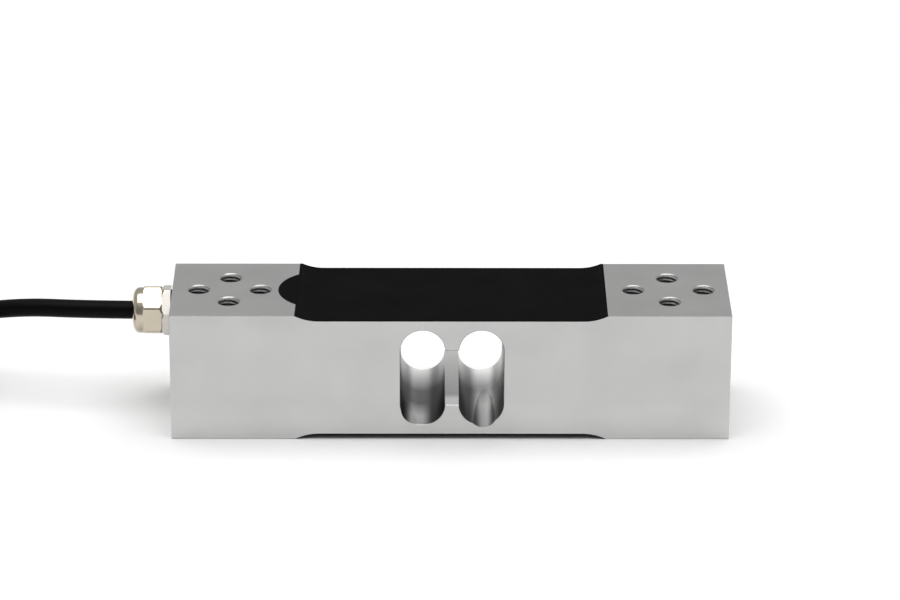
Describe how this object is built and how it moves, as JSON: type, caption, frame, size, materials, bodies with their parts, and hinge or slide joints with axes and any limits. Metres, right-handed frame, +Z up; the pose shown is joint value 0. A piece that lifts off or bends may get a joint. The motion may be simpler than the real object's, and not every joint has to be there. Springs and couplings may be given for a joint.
{
  "type": "weighing load cell",
  "caption": "Aluminium bending-beam load cell: a block with a double-hole cut-out, black sealed recesses, threaded holes at both ends and a black cable from a metal gland.",
  "frame": {"origin": "centre of the block's bottom face", "axes": "+X along the block towards the loaded end, away from the cable; +Y across the block, towards the side that the gland is offset to; +Z up, through the gauged faces"},
  "size_m": [0.3028, 0.0542, 0.036],
  "materials": {
    "body_aluminium": "fine machined, clear anodised, satin",
    "sealant_black": "poured silicone sealant, dull satin",
    "gauge_foil": "polyimide backing, amber",
    "terminal_copper": "copper pads, tinned",
    "board_green": "glass fibre board with green resist",
    "ribbon_enamel": "enamelled copper wires side by side",
    "gland_nickel": "nickel plated, semi-bright",
    "seal_rubber": "nitrile rubber",
    "ring_plastic": "polyamide",
    "cable_black": "smooth polyurethane jacket, satin",
    "sleeve_black": "heat-shrink sleeve",
    "tie_fabric": "woven hook-and-loop strap",
    "wire_red": "insulated core",
    "wire_green": "insulated core",
    "wire_white": "insulated core",
    "wire_black": "insulated core"
  },
  "bodies": {
    "root": {"spring_element": "body_aluminium", "top_sealant": "sealant_black", "bottom_sealant": "sealant_black", "top_gauge_left": "gauge_foil", "top_gauge_right": "gauge_foil", "bottom_gauge_left": "gauge_foil", "bottom_gauge_right": "gauge_foil", "top_terminals": "terminal_copper", "bottom_terminals": "terminal_copper", "compensation_board": "board_green", "top_ribbon": "ribbon_enamel", "bottom_ribbon": "ribbon_enamel", "core_red": "wire_red", "core_green": "wire_green", "core_white": "wire_white", "core_black": "wire_black", "gland_gasket": "seal_rubber", "gland_body": "gland_nickel", "gland_seal": "seal_rubber", "gland_ring": "ring_plastic", "gland_nut": "gland_nickel", "cable_jacket": "cable_black", "cable_hank": "cable_black", "cable_tail": "cable_black", "cable_tie": "tie_fabric", "end_sleeve": "sleeve_black", "lead_red": "wire_red", "lead_green": "wire_green", "lead_white": "wire_white", "lead_black": "wire_black"}
  },
  "joints": []
}
